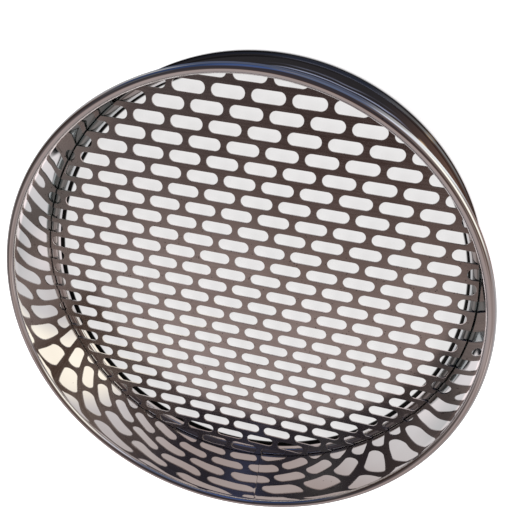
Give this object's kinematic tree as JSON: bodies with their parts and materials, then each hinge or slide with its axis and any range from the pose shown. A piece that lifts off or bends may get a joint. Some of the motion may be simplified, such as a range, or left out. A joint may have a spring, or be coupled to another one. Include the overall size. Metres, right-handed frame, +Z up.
{
  "type": "cheese mold",
  "caption": "Shallow round cheese mold: a polished steel hoop with a curled rim and foot, and a loose slotted base disc that rests on the foot's inner ledge and lifts out.",
  "frame": {"origin": "centre of the circle that the foot stands on", "axes": "+Z up out of the open top, +X along the rows of slots in the base, +Y across the rows"},
  "size_m": [0.2074, 0.2074, 0.0417],
  "materials": {
    "polished_steel": "mirror-polished stainless sheet with fine wipe marks",
    "slotted_steel": "bright slotted stainless sheet, slightly dulled and specked",
    "steel_wire": "drawn stainless wire"
  },
  "bodies": {
    "hoop": {"hoop_shell": "polished_steel", "rim_wire": "steel_wire", "foot_wire": "steel_wire"},
    "base": {"perforated_base": "slotted_steel"}
  },
  "joints": [
    {"name": "base_lift", "type": "slide", "parent": "hoop", "child": "base", "axis": [0, 0, 1], "range_m": [0, 0.06]}
  ]
}
